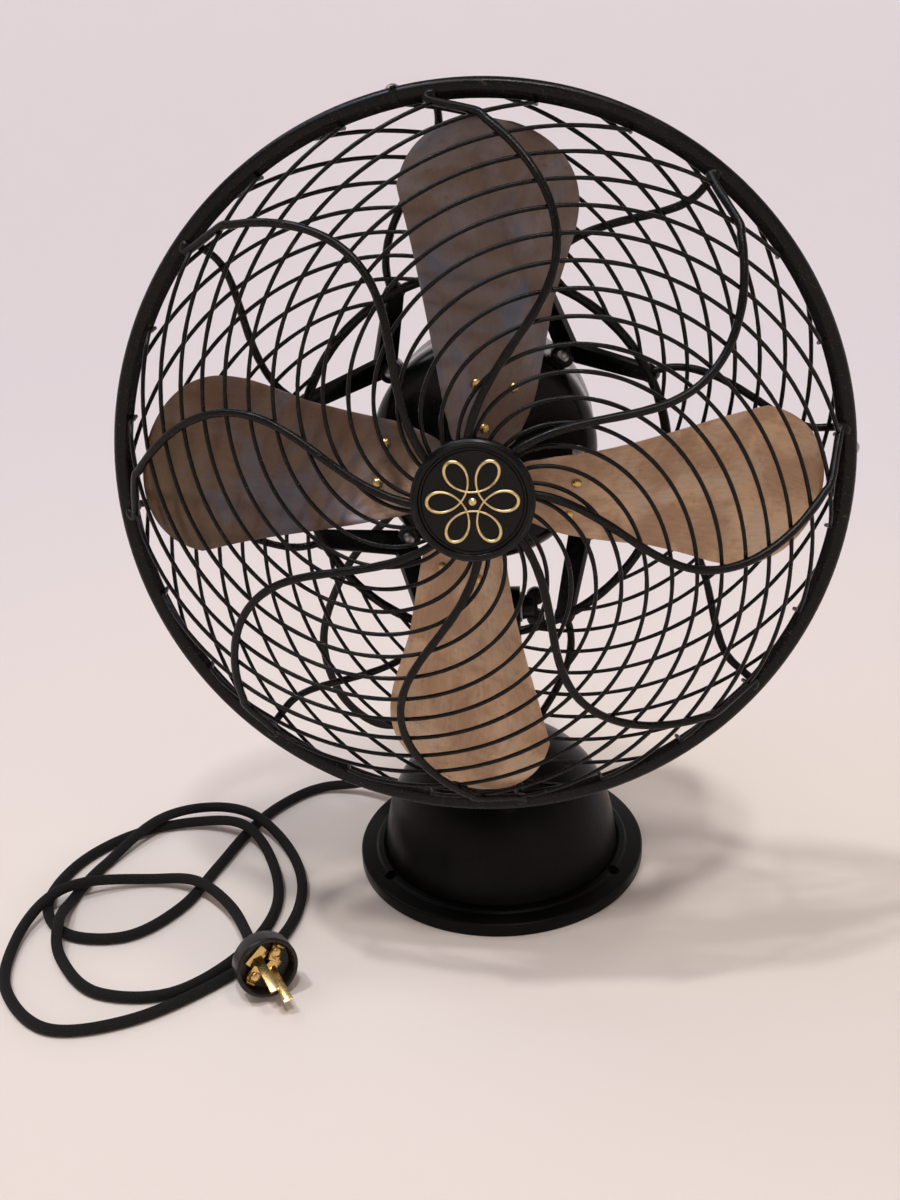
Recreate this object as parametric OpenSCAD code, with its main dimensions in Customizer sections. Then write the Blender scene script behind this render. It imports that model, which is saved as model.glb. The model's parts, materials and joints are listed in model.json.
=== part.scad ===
// Antique sixteen inch desk fan: cast base, tilting and swivelling motor head,
// four paddle blades and a guard of spiral wires on S-shaped ribs.
// Millimetres. +Z is up, the fan blows towards -Y, and the origin is the centre
// of the base's underside.

/* [Base] */
// Radius of the base flange
base_r = 110; // [104:1:116]
// Thickness of the base flange
flange_t = 11; // [9:1:13]
// Radius of the circle that the three flange holes stand on
bolt_circle_r = 97; // [95:1:99]
// Radius of a flange hole
bolt_hole_r = 3.2; // [2.6:0.1:3.6]
// Height of the base, up to the face that the neck turns on
base_h = 114; // [110:1:118]
// Turn of the base under the head
base_turn = 2; // [0:1:8]

/* [Head] */
// Height of the tilt bolt above the table
tilt_z = 211; // [208:1:214]
// Upward tilt of the head as it stands
tilt = 8; // [4:1:10]
// Height of the fan axis above the tilt bolt
axis_drop = 127; // [125:1:132]
// Distance that the head's centre stands ahead of the tilt bolt
axis_lead = 18.9; // [18:0.1:24]
// Radius of the motor drum
motor_r = 75; // [74:1:77]

/* [Blades] */
// Radius that the blade tips sweep
blade_r = 203; // [198:1:204]
// Thickness of the blade sheet
blade_t = 1.6; // [1.2:0.1:2]
// Angle of the first blade
blade_turn = -12; // [-20:1:20]

/* [Guard] */
// Outer radius of the rim band
rim_r = 228.6; // [228:0.1:232]
// Width of the rim band
rim_w = 18; // [16:1:20]
// Height of the guard's dome in front of the rim band
dome_h = 72; // [70:1:76]
// Number of S-shaped ribs on each side
ribs = 8; // [4:4:8]
// Number of thin wires on each side
wires = 24; // [16:8:24]
// Radius of a thin wire
wire_r = 1.3; // [1.1:0.1:1.8]
// Radius of a rib
rib_r = 2.5; // [2:0.1:2.8]
// Angle of the ribs at the rim
guard_turn = 5; // [0:1:10]

/* [Cord] */
// Diameter of the braided supply cord
cord_d = 8; // [7:0.5:8]
// Diameter of the motor lead
lead_d = 6; // [5:0.5:6]

/* [Hidden] */
$fn = 64;

japan = "#1a1a1c";
steel = "#8b8d90";
brass = "#b08d45";
bakelite = "#201c1a";
copper = "#a5623a";

fit = 0.06;             // running clearance of a shaft in its bore
gap = 0.3;              // space between faces that turn past each other

// base
wall = 6;
foot_r = 90;
collar_r = 28;
stem_r = 12;
stem_z = 74;            // underside of the stem's boss
cover_z = 3;
cover_r = 83.5;
screw_in = 5;            // distance of the cover screws from the cover's edge
coil_z = cover_z + 2;
coil_h = 38;
post_r = 38;            // circle of the posts that carry the switch plate
plate_z = 50;
gland_turn = 146;       // the cord leaves the base at the left of its back
gland_z = 24;
gland_out = 96.5;
slot_turn = 75;         // the speed lever stands at the right of the base's back
slot_z = 40;
lever_z = slot_z;
screw_turn = 90;         // the swivel lock screw is at the back
swing = 24;             // the lever's travel to each side

// neck
ear_in = 8 + gap;
ear_out = 20;
eye_r = 15;
pivot_r = 5;

// motor, along the fan axis from the head's centre
drum_back = -70;
drum_front = 50;
cup_back = -75.5;        // place of the rear oil cup
bearing_r = 9;
shaft_r = 5;
stator_r = 68;
rotor_r = 40;
stack = 22;             // half the length of the iron

// guard, along the fan axis from the head's centre
rim_z = 100;            // middle of the rim band
rim_in = rim_r - 2.4;
face_in = rim_r - 12;     // inner edge of the rim's front face
dome_z = rim_z + rim_w / 2;
hub_z = dome_z + dome_h;
hub_r = 33;
badge_z = hub_z + 2 * rib_r - 1;
ring_z = 70;
ring_r = 118;
strut_turn = 48.5;      // angle of the first strut pair
arm_turn = 22.5;        // half the angle between a strut's ends
ring_turn = 26;         // angle at which the first back rib leaves the ring
back_sweep = 21;
front_sweep = 27;
wire_sweep = 160;
lug_r = 80;
lug_z = 33;             // face of the lugs that carry the struts

// blades
root_z = 142;
tip_z = 115;
root_r = 18;

// cord
floor_z = cord_d / 2 + 0.2;
over_z = floor_z + cord_d + 0.8;
lift_z = floor_z + 2;
plug_at = [-157, -168, 24];
plug_heading = -62;
plug_dip = -12;
plug_roll = 37;
plug_r = 21.5;
sleeve_end = -30;

// ---------------------------------------------------------------- functions

function unit(v) = v / norm(v);
function mix(a, b, t) = a + (b - a) * t;
function clamp01(x) = max(0, min(1, x));
function ease(x) = (1 - cos(180 * clamp01(x))) / 2;
function polar(r, a, z = 0) = [r * cos(a), r * sin(a), z];

// one point of a cubic curve with the four given control points
function bez(p, t) = pow(1 - t, 3) * p[0] + 3 * pow(1 - t, 2) * t * p[1]
    + 3 * (1 - t) * t * t * p[2] + pow(t, 3) * p[3];
function bez_line(p, n) = [for (i = [0:n]) bez(p, i / n)];

// a smooth curve through points, with n steps between neighbours
function curve_at(a, b, c, d, t) = 0.5 * (2 * b + (c - a) * t
    + (2 * a - 5 * b + 4 * c - d) * t * t + (3 * b - a - 3 * c + d) * t * t * t);
function smooth(p, n) = let (last = len(p) - 1) concat(
    [for (i = [0:last - 1]) for (k = [0:n - 1])
        curve_at(p[max(i - 1, 0)], p[i], p[i + 1], p[min(i + 2, last)], k / n)],
    [p[last]]);

// directions along a line of points
function heading(p, i) = unit(p[min(i + 1, len(p) - 1)] - p[max(i - 1, 0)]);

// a closed tube along a line of points; side is never parallel to the line
module tube(p, r, sides = 6, side = [0, 0, 1]) {
    rings = [for (i = [0:len(p) - 1]) let (t = heading(p, i), a = unit(cross(t, side)),
        b = cross(t, a)) for (k = [0:sides - 1])
            p[i] + r * (cos(k * 360 / sides) * a + sin(k * 360 / sides) * b)];
    last = (len(p) - 1) * sides;
    walls = [for (i = [0:len(p) - 2]) for (k = [0:sides - 1])
        let (q = (k + 1) % sides, a = i * sides, b = a + sides)
        each [[a + k, b + k, b + q], [a + k, b + q, a + q]]];
    caps = [[for (k = [0:sides - 1]) k], [for (k = [sides - 1:-1:0]) last + k]];
    polyhedron(rings, concat(walls, caps));
}

// ---------------------------------------------------------------- places

// the head's own frame: x to the right, y up and z forward along the fan axis
module head() translate([0, 0, tilt_z]) rotate([-tilt, 0, 0])
    translate([0, -axis_lead, axis_drop]) rotate([90, 0, 0]) children();
// a step along the fan axis
module along(z) translate([0, 0, z]) children();
// copies around the Z axis
module around(n, start = 0) for (i = [0:n - 1]) rotate(start + i * 360 / n) children();
module ring(r_in, r_out, h) difference() {
    cylinder(r = r_out, h = h);
    translate([0, 0, -1]) cylinder(r = r_in, h = h + 2);
}
module round_head(r, h) intersection() {
    cylinder(r = r, h = h);
    translate([0, 0, h - r * 1.25]) sphere(r = r * 1.25);
}

// ---------------------------------------------------------------- base

shell = [[foot_r, flange_t + 2], [86, 62], [72, 84], [collar_r, base_h - 8]];
function inset(p) = [for (q = p) [q[0] - wall, q[1] - (q[1] > 70 ? wall : 0)]];

module base_casting() color(japan) difference() {
    union() {
        rotate_extrude($fn = 96) difference() {
            polygon(concat([[0, 0], [base_r, 0], [base_r, flange_t - 2],
                [base_r - 2, flange_t], [foot_r + 4, flange_t]], bez_line(shell, 12),
                [[collar_r, base_h], [0, base_h]]));
            polygon(concat([[0, -1], [foot_r - wall, -1], [foot_r - wall, flange_t]],
                bez_line(inset(shell), 12), [[0, base_h - 8 - wall]]));
        }
        translate([0, 0, stem_z]) cylinder(r = 20, h = base_h - stem_z - 4);
        around(3, 30) translate([cover_r - screw_in, 0, cover_z + 2]) cylinder(r = 7.5, h = 16);
        around(3, 15) translate([post_r, 0, plate_z + 4]) cylinder(r = 4, h = 40);
    }
    translate([0, 0, stem_z - 1]) cylinder(r = stem_r + fit, h = base_h);
    around(3, 90 + base_turn) translate([bolt_circle_r, 0, -1])
        cylinder(r = bolt_hole_r, h = flange_t + 2);
    around(3, 30) translate([cover_r - screw_in, 0, 0]) cylinder(r = 2, h = 14);
    rotate(gland_turn) translate([60, 0, gland_z]) rotate([0, 90, 0])
        cylinder(r = 6.5, h = 40);
    rotate(slot_turn) translate([60, 0, slot_z]) lever_slot();
    rotate(screw_turn) translate([0, 0, base_h - 10]) rotate([0, 90, 0])
        cylinder(r = 2.5, h = 44);
}
module lever_slot() intersection() {
    translate([-60, 0, -3]) rotate_extrude($fn = 96) translate([62, 0]) square([60, 6]);
    translate([0, -40, -5]) cube([60, 80, 10]);
}

module base_cover() color(steel) difference() {
    along(cover_z) cylinder(r = cover_r, h = 2);
    around(3, 30) translate([cover_r - screw_in, 0, 0]) cylinder(r = 2.3, h = 9);
}

module felt_ring() color("#2d3a2c") difference() {
    ring(58, cover_r, cover_z);
    around(3, 30) translate([cover_r - screw_in, 0, -1]) cylinder(r = 4.6, h = 9);
}

module cover_screws() color(steel) around(3, 30) translate([cover_r - screw_in, 0, 0]) {
    along(1) cylinder(r = 4.2, h = cover_z - 1);
    cylinder(r = 2, h = 13);
}

module cord_bushing() color(bakelite) rotate(gland_turn) translate([0, 0, gland_z])
    rotate([0, 90, 0]) difference() {
        union() {
            along(76) cylinder(r = 6.5, h = gland_out - 76);
            along(foot_r - 1.5) cylinder(r1 = 9, r2 = 7.5, h = gland_out - foot_r + 1.5);
            along(76) cylinder(r = 8.5, h = 5);
        }
        along(70) cylinder(r = cord_d / 2 - 0.5, h = gland_out - 70 - 6);
    }

module speed_coil() color(copper) along(coil_z) {
    for (x = [-34, 20]) translate([x, -14, 0]) cube([14, 28, coil_h]);
    for (z = [0, coil_h - 9]) translate([-20, -14, z]) cube([40, 28, 9]);
    translate([0, 0, 9]) cylinder(r = 13, h = coil_h - 18);
}

module switch_plate() color(bakelite) along(plate_z) difference() {
    union() {
        cylinder(r = 44, h = 4);
        rotate(slot_turn) translate([30, -18, 0]) cube([34, 36, 4]);
    }
    along(-1) cylinder(r = 3 + fit, h = 6);
}

module switch_contacts() color(brass) for (i = [-1.5:1:1.5])
    rotate(slot_turn + i * swing * 0.6) translate([36, 0, plate_z - 2]) cylinder(r = 3, h = 2);

module switch_arm() color(steel) {
    along(lever_z + 5) cylinder(r = 6, h = 4);
    along(lever_z + 5) cylinder(r = 3, h = 12);
    rotate(slot_turn) translate([0, -3, lever_z + 5]) cube([62, 6, 2.4]);
    rotate(slot_turn) translate([58, -3, lever_z - 1.2]) cube([4, 6, 8.6]);
    rotate(slot_turn) translate([58, -3, lever_z - 1.2]) cube([46, 6, 2.4]);
}

module lever_knob() color(bakelite) rotate(slot_turn) translate([103, 0, lever_z])
    rotate([0, 90, 0]) difference() {
        cylinder(r1 = 5, r2 = 6.5, h = 16);
        translate([-1.25, -3.05, -1]) cube([2.5, 6.1, 2]);
    }

module stem_nut() color(steel) along(stem_z - 11) difference() {
    union() {
        cylinder(r = 15, h = 8, $fn = 6);
        along(8) cylinder(r = 17, h = 2.7);
    }
    along(-1) cylinder(r = 8, h = 14);
}

module swivel_screw() color(steel) rotate(screw_turn) along(base_h - 10) rotate([0, 90, 0]) {
    along(stem_r + 0.5) cylinder(r = 2.5, h = 28);
    along(collar_r + 10) translate([-4, -4, 0]) cube([8, 8, 7]);
}

// ---------------------------------------------------------------- neck

module neck() color(japan) difference() {
    union() {
        along(base_h + gap) cylinder(r = collar_r, h = 10);
        along(base_h + gap + 10) cylinder(r1 = collar_r, r2 = 21, h = 5);
        along(base_h + gap + 15) cylinder(r1 = 21, r2 = 19, h = 50);
        along(stem_z) cylinder(r = stem_r, h = 50);
        along(stem_z - 12) cylinder(r = 8, h = 20);
        for (s = [-1, 1]) translate([s > 0 ? ear_in : -ear_out, 0, 0]) {
            translate([0, -eye_r, 168]) cube([ear_out - ear_in, 2 * eye_r, tilt_z - 168]);
            translate([0, 0, tilt_z]) rotate([0, 90, 0])
                cylinder(r = eye_r, h = ear_out - ear_in);
        }
    }
    translate([-30, 0, tilt_z]) rotate([0, 90, 0]) cylinder(r = pivot_r + fit, h = 60);
    translate([-40, lead_in[1], lead_in[2]]) rotate([0, 90, 0]) cylinder(r = 4.5, h = 26);
}

module tilt_bolt() color(steel) translate([0, 0, tilt_z]) rotate([0, 90, 0]) {
    along(-ear_out - 1.5) cylinder(r = pivot_r, h = 49);
    along(-ear_out - 8) cylinder(r = 9.5, h = 6.5, $fn = 6);
}

module tilt_washers() color(steel) translate([0, 0, tilt_z]) rotate([0, 90, 0])
    for (x = [-ear_out - 1.5, ear_out]) along(x) ring(pivot_r + fit, 11, 1.5);

module wing_nut() color(japan) translate([ear_out + 1.5 + gap, 0, tilt_z]) rotate([0, 90, 0])
    difference() {
        union() {
            cylinder(r1 = 9.5, r2 = 7.5, h = 8);
            for (s = [-1, 1]) translate([s * 8.6, 0, 9.5]) rotate([90, 0, 0]) along(-2.2)
                cylinder(r = 6.6, h = 4.4);
            translate([-4, -2.2, 5]) cube([8, 4.4, 6]);
        }
        along(-1) cylinder(r = pivot_r + fit, h = 7.4);
    }

// ---------------------------------------------------------------- motor lead

lead_turn = 221;        // the lead leaves the drum low on its left side
lead_z = -52;
lead_in = [-collar_r + 4, 6, 121];
lead_route = [lead_in, [-32, 6, 121], [-58, 9, 111], [-92, 13, 107], [-119, 20, 127],
    [-131, 26, 163], [-126, 31, 196], [-106, 37, 235], [-78, 41, 265], [-63, 43, 278],
    [-58, 43.5, 282]];

module lead_bushing() color(bakelite) translate([-collar_r - 2, lead_in[1], lead_in[2]])
    rotate([0, 90, 0]) ring(lead_d / 2 + 0.1, 4.5, 6);

module motor_lead() color("#33302c")
    tube(smooth(lead_route, 2), lead_d / 2, 8, [0, 1, 0]);

// ---------------------------------------------------------------- motor

// half of the drum's outline, with round shoulders, from the open end to the axis
function drum(r, h, round) = concat([[0, 0], [r, 0]],
    [for (a = [0:15:90]) [r - round + round * cos(a), h - round + round * sin(a)]], [[0, h]]);

module drum_shell(depth) difference() {
    rotate_extrude($fn = 96) difference() {
        polygon(drum(motor_r, depth, 16));
        polygon(drum(motor_r - 4, depth - 4, 13));
    }
    along(depth - 20) cylinder(r = bearing_r, h = 30);
    around(4) translate([62, 0, depth - 20]) cylinder(r = 2.05, h = 30);
}

module motor_front_shell() color(japan) head() difference() {
    union() {
        drum_shell(drum_front);
        along(drum_front - 4) ring(bearing_r, 17, 16);
        around(4, strut_turn) translate([lug_r, 0, lug_z - 13]) cylinder(r = 8, h = 13);
    }
    around(4, strut_turn) translate([lug_r, 0, lug_z - 12]) cylinder(r = 2.05, h = 20);
    translate([0, 5, drum_front + 6]) rotate([-90, 0, 0]) cylinder(r = 2.5, h = 20);
}

module motor_rear_shell() color(japan) head() difference() {
    union() {
        rotate([0, 180, 0]) drum_shell(-drum_back);
        along(drum_back - 10) ring(bearing_r, 17, 14);
        translate([-8, -axis_drop, -axis_lead - 13]) cube([16, axis_drop - motor_r + 3, 26]);
        translate([-8, -axis_drop, -axis_lead]) rotate([0, 90, 0]) cylinder(r = 13, h = 16);
    }
    translate([-9, -axis_drop, -axis_lead]) rotate([0, 90, 0])
        cylinder(r = pivot_r + fit, h = 18);
    translate([0, 5, cup_back]) rotate([-90, 0, 0]) cylinder(r = 2.5, h = 20);
    rotate(lead_turn) translate([60, 0, lead_z]) rotate([0, 90, 0]) cylinder(r = 5, h = 30);
}

module shell_bolts() color(steel) head() around(4) translate([62, 0, 0]) {
    along(drum_back - 3) cylinder(r = 2, h = drum_front - drum_back + 5);
    along(drum_front) round_head(4, 3);
    along(drum_back - 3) cylinder(r = 3.8, h = 3, $fn = 6);
}

module stator_core() color(steel) head() along(-stack) difference() {
    ring(rotor_r + 0.5, motor_r - 4, 2 * stack);
    around(4) translate([62, 0, -1]) cylinder(r = 2.2, h = 2 * stack + 2);
    around(12, 15) translate([45, -3.5, -1]) cube([9, 7, 2 * stack + 2]);
}

module stator_windings() color(copper) head()
    for (z = [-stack - 12, stack]) along(z) ring(rotor_r + 2, 56, 12);

module front_bearing() color(brass) head() along(drum_front - 14)
    ring(shaft_r + fit, bearing_r, 26);
module rear_bearing() color(brass) head() along(drum_back - 10)
    ring(shaft_r + fit, bearing_r, 26);

module oil_cups() color(brass) head() for (z = [drum_front + 6, cup_back])
    translate([0, bearing_r + 0.1, z]) rotate([-90, 0, 0]) {
        cylinder(r = 2.5, h = 10);
        along(8) cylinder(r = 5, h = 10);
        along(18) round_head(5.6, 3);
    }

module lead_clamp() color(bakelite) head() rotate(lead_turn) translate([70, 0, lead_z])
    rotate([0, 90, 0]) {
        ring(lead_d / 2 + 0.3, 5, 14);
        along(5.5) ring(lead_d / 2 + 0.3, 7, 5);
    }

// ---------------------------------------------------------------- guard frame

// one V: a foot on its lug, and a flat plate with two arms that reach the back ring
module strut(i) color(japan) head() rotate(strut_turn + i * 90) {
    foot = lug_r + 5;
    rise = ring_z - 4.5 - lug_z - 1.5;
    reach = ring_r * cos(arm_turn) - foot;
    side = ring_r * sin(arm_turn);
    run = norm([reach, rise]);
    arm = norm([run, side]);
    difference() {
        union() {
            translate([lug_r, 0, lug_z]) cylinder(r = 7, h = 3);
            translate([foot, 0, lug_z + 1.5]) rotate([0, -atan2(rise, reach), 0]) along(-1.5)
                linear_extrude(3) {
                    circle(r = 8.4);
                    for (s = [-1, 1]) {
                        rotate(s * atan2(side, run))
                            polygon([[0, -8], [arm, -5.5], [arm, 5.5], [0, 8]]);
                        translate([run, s * side]) circle(r = 6.3);
                    }
                }
        }
        translate([lug_r, 0, lug_z]) {
            along(-20) cylinder(r = 30, h = 20);
            along(-1) cylinder(r = 2.05, h = 10);
            along(3) cylinder(r = 4.2, h = 12);
        }
        cylinder(r = motor_r + 0.1, h = 60, $fn = 96);
    }
}

module strut_screws() color(steel) head() around(4, strut_turn) translate([lug_r, 0, 0]) {
    along(lug_z - 10) cylinder(r = 2, h = 14);
    along(lug_z + 3) round_head(4, 3);
}

// the rim is a channel: an outer wall, and a front face that the ribs' ends lie on
rim_edge = [[rim_in, 0], [rim_r, 0], [rim_r, rim_w - 1.6], [rim_r - 1.6, rim_w],
    [rim_r - 8, rim_w], [face_in, rim_w - 3], [face_in, rim_w - 5.2], [rim_r - 7.6, rim_w - 2.4],
    [rim_in, rim_w - 2.4]];
screw_turns = [2, 101];
module rim_band() color(japan) head() along(rim_z - rim_w / 2) difference() {
    union() {
        rotate_extrude($fn = 180) polygon(rim_edge);
        rotate(101) translate([rim_in - 5, -9, 3]) cube([6, 18, rim_w - 5]);
    }
    for (a = screw_turns) rotate(a) translate([rim_in - 7, 0, rim_w / 2]) rotate([0, 90, 0])
        cylinder(r = 2.05, h = 20);
}

module rim_screws() color(steel) head() for (a = screw_turns) rotate(a)
    translate([0, 0, rim_z]) rotate([0, 90, 0]) {
        along(rim_in - 0.5) cylinder(r = 2, h = 3.5);
        along(rim_r) round_head(4, 2.4);
    }

module back_ring() color(japan) head() along(ring_z)
    rotate_extrude($fn = 120) translate([ring_r, 0]) circle(r = 3, $fn = 16);

// profiles of the guard: distance along the axis at a radius
function dome(r) = dome_z + dome_h * pow(clamp01(1 - pow(r / (face_in + 0.5), 2)), 0.51);
function back(r) = ring_z + 2 + 24 * pow(clamp01((r - ring_r) / (rim_in - ring_r)), 1.6);

// an S-shaped front rib, a share u of the way from the hub to the rim
function front_rib(u) = let (r = mix(hub_r - 5, rim_r - 2, u))
    polar(r, guard_turn + 1 - front_sweep * sin(180 * u), dome(r) + rib_r);
// a front wire leaves the hub radially and winds outwards behind the ribs
wire_end = face_in - wire_r + 0.4;
function front_wire(u) = let (r = mix(hub_r - 5, wire_end, u))
    polar(r, guard_turn - 5 - wire_sweep * pow(u, 1.25), dome(r) - wire_r - 0.1);
// a back rib swings round from the ring, then runs straight out to the rim
function back_rib(u) = let (r = mix(ring_r, rim_in - rib_r + 0.3, u))
    polar(r, ring_turn - back_sweep * ease(u / 0.85), back(r) - rib_r);
// a back wire winds the other way, in front of the back ribs
function back_wire(u) = let (r = mix(ring_r, rim_in - wire_r + 0.3, u))
    polar(r, ring_turn + 5 + 106 * u, back(r) + wire_r);

// n copies of a line of points, each a closed tube
module fan_of_tubes(n, p, r) for (i = [0:n - 1]) rotate(i * 360 / n) tube(p, r);

module front_ribs() color(japan) head() fan_of_tubes(ribs, concat(
    [for (i = [0:14]) front_rib(i / 15)],
    [polar(rim_r - 11, guard_turn + 0.7, dome_z + rib_r + 1.4),
     polar(rim_r - 7, guard_turn, dome_z + rib_r - 0.4)]), rib_r);
module front_wires() color(japan) head() fan_of_tubes(wires, concat(
    [for (i = [0:17]) front_wire(i / 17)],
    [polar(wire_end, guard_turn - 5.5 - wire_sweep, dome_z - 5)]), wire_r);
module back_ribs() color(japan) head()
    fan_of_tubes(ribs, [for (i = [0:9]) back_rib(i / 9)], rib_r);
module back_wires() color(japan) head()
    fan_of_tubes(wires, [for (i = [0:11]) back_wire(i / 11)], wire_r);

module hub_plate() color(japan) head() along(hub_z - 12) ring(4, hub_r, 8.5);

module badge() color(japan) head() along(badge_z) rotate_extrude($fn = 96)
    polygon([[0, 0], [34.4, 0], [35.4, 1], [35.4, 3], [33.5, 5], [30.5, 5.6], [29.5, 4.6],
        [0, 4.6]]);

module badge_ornament() color(brass) head() along(badge_z + 4.6) {
    around(6) translate([15, 0, 0]) ring(9.9, 11.6, 1.4);
    cylinder(r = 2.2, h = 1.8);
}

// ---------------------------------------------------------------- rotor

module shaft() color(steel) head() along(drum_back - 9) cylinder(r = shaft_r, h = 231);
module rotor_core() color(steel) head() along(-stack) difference() {
    ring(shaft_r, rotor_r, 2 * stack);
    around(16) translate([34, 0, -1]) cylinder(r = 2, h = 2 * stack + 2);
}
module thrust_collars() color(steel) head() {
    along(drum_front + 12 + gap) ring(shaft_r, 8, 6);
    along(drum_back + 16 + gap) ring(shaft_r, 8, 6);
}

// a blade's own frame: x outwards along the blade, y across, z forward
function tip_round(s) = pow(clamp01(1 - pow(clamp01((s - 155) / (blade_r + 1 - 155)), 2.4)), 0.5);
function root_round(s) = pow(clamp01(1 - pow(clamp01((30 - s) / 12.5), 3)), 0.5);
function low_edge(s) = root_round(s) * mix(24, -25 - 5 * clamp01((s - 110) / 40)
    + 9 * pow(clamp01((60 - s) / 40), 1.7), tip_round(s));
function high_edge(s) = root_round(s) * mix(24, 24 + 51 * pow(clamp01((s - 34) / 124), 1.15)
    - 7 * pow(clamp01((44 - s) / 24), 1.7), tip_round(s));
function blade_z(s, y, v) = mix(root_z, tip_z, ease((s - 55) / 95))
    + (y - 8) * mix(0.6, 0.26, clamp01((s - 30) / 130)) - 4 * (1 - pow(2 * v - 1, 2));
function blade_point(u, v, h) = let (s = mix(root_r, blade_r, ease(u)),
    y = mix(low_edge(s), high_edge(s), v)) [s, y, blade_z(s, y, v) + h];

module blade(i) color("#8c8680") head() rotate(blade_turn + i * 90) {
    nu = 18;
    nv = 7;
    m = nv + 1;
    half = (nu + 1) * m;
    pts = [for (h = [blade_t / 2, -blade_t / 2]) for (a = [0:nu]) for (b = [0:nv])
        blade_point(a / nu, b / nv, h)];
    rim = concat([for (a = [0:nu - 1]) a * m], [for (b = [0:nv - 1]) nu * m + b],
        [for (a = [nu:-1:1]) a * m + nv], [for (b = [nv:-1:1]) b]);
    n = len(rim);
    faces = concat(
        [for (a = [0:nu - 1]) for (b = [0:nv - 1]) let (k = a * m + b)
            each [[k, k + 1, k + m + 1], [k, k + m + 1, k + m]]],
        [for (a = [0:nu - 1]) for (b = [0:nv - 1]) let (k = half + a * m + b)
            each [[k, k + m + 1, k + 1], [k, k + m, k + m + 1]]],
        [for (k = [0:n - 1]) let (p = rim[k], q = rim[(k + 1) % n])
            each [[p, q, q + half], [p, q + half, p + half]]]);
    polyhedron(pts, faces);
}

rivet_r = 58;
module fan_spider() color(japan) head() difference() {
    union() {
        along(126) cylinder(r = 15, h = 26);
        around(4, blade_turn) translate([10, 0, blade_z(50, 0, 0.5) - 2.5])
            rotate([31, 0, 0]) translate([0, -15, -3]) cube([56, 30, 3]);
    }
    along(120) cylinder(r = shaft_r, h = 40);
    translate([0, 4, 132]) rotate([-90, 0, 0]) cylinder(r = 2.05, h = 14);
}
module spider_screw() color(steel) head() translate([0, shaft_r, 132]) rotate([-90, 0, 0])
    cylinder(r = 2, h = 11);

module rivets() color(brass) head() around(4, blade_turn)
    for (q = [[rivet_r, -11], [rivet_r, 11], [32, 2]]) let (v = 0.5 + q[1] / 60)
        translate([q[0], q[1], blade_z(q[0], q[1], v)]) rotate([31, 0, 0])
            rotate_extrude($fn = 24) polygon([[0, -5], [1.6, -5], [1.6, 0.6], [3.2, 0.6],
                [3, 1.8], [2.1, 2.6], [0, 3]]);

// ---------------------------------------------------------------- cord and plug

cord_route = [[-80, 54, 24], [-100, 67, 21], [-126, 80, 10], [-158, 82, floor_z],
    [-187, 55, floor_z], [-206, 18, floor_z], [-221, -30, floor_z], [-238, -80, floor_z],
    [-270, -114, floor_z], [-316, -112, floor_z], [-342, -76, floor_z],
    [-333, -24, floor_z], [-298, 16, floor_z], [-250, 30, lift_z], [-208, 15, over_z],
    [-180, -22, lift_z], [-166, -78, floor_z], [-181, -132, floor_z],
    [-222, -175, floor_z], [-276, -175, floor_z], [-312, -140, lift_z],
    [-322, -108, over_z], [-324, -70, floor_z], [-311, -24, floor_z], [-281, 22, over_z],
    [-242, 41, over_z], [-201, 28, over_z], [-165, -14, lift_z], [-149, -66, floor_z],
    [-158, -120, floor_z], [-196, -167, floor_z], [-246, -203, floor_z],
    [-300, -211, floor_z], [-341, -172, floor_z], [-351, -122, lift_z],
    [-340, -83, over_z], [-316, -61, over_z], [-270, -48, lift_z], [-230, -60, over_z],
    [-196, -94, 14.5], [-171, -142, 18]];

function laid(p) = [p[0], p[1], max(p[2], floor_z)];
module supply_cord() color("#151515")
    tube([for (p = smooth(cord_route, 2)) laid(p)], cord_d / 2, 8);

// the plug's frame: z runs out through the prongs
module plug() translate(plug_at) rotate(plug_heading) rotate([0, 90 + plug_dip, 0])
    rotate(plug_roll) children();

module plug_body() color(bakelite) plug() difference() {
    union() {
        along(-8) cylinder(r1 = 19, r2 = plug_r, h = 8);
        cylinder(r = plug_r, h = 9);
        along(-16) cylinder(r1 = 10, r2 = 17, h = 8);
        along(sleeve_end) cylinder(r1 = 7.5, r2 = 10, h = 14);
    }
    along(-2) cylinder(r = plug_r - 3, h = 12);
    along(sleeve_end - 1) cylinder(r = 3, h = 40);
}
module plug_prongs() color(brass) plug() for (s = [-1, 1])
    translate([s * 6.5, 0, -1.4]) rotate(-27) rotate([0, 25, 0]) translate([-0.8, -3.2, 0])
        cube([1.6, 6.4, 32]);
module plug_screws() color(brass) plug() for (s = [-1, 1]) translate([0, s * 11, -2]) {
    cylinder(r = 2, h = 5);
    along(5) cylinder(r = 3.6, h = 2);
}

// ---------------------------------------------------------------- draw

base_casting();
base_cover();
felt_ring();
cover_screws();
cord_bushing();
speed_coil();
switch_plate();
switch_contacts();
stem_nut();
swivel_screw();
supply_cord();
plug_body();
plug_prongs();
plug_screws();
switch_arm();
lever_knob();
neck();
tilt_bolt();
tilt_washers();
lead_bushing();
motor_lead();
wing_nut();
motor_rear_shell();
motor_front_shell();
shell_bolts();
stator_core();
stator_windings();
front_bearing();
rear_bearing();
oil_cups();
lead_clamp();
strut(0);  // strut_1
strut(1);  // strut_2
strut(2);  // strut_3
strut(3);  // strut_4
strut_screws();
rim_band();
rim_screws();
back_ring();
back_ribs();
back_wires();
front_ribs();
front_wires();
hub_plate();
badge();
badge_ornament();
shaft();
rotor_core();
thrust_collars();
fan_spider();
blade(0);  // blade_1
blade(1);  // blade_2
blade(2);  // blade_3
blade(3);  // blade_4
rivets();
spider_screw();
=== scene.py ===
"""Antique desk fan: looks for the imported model.

Shapes are worked out in millimetres, in one of two places: WORLD, the model's own frame, or
HEAD, where x is to the right, y up and z forward along the fan's axis from the head's centre.
"""
import json
import math

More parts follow.
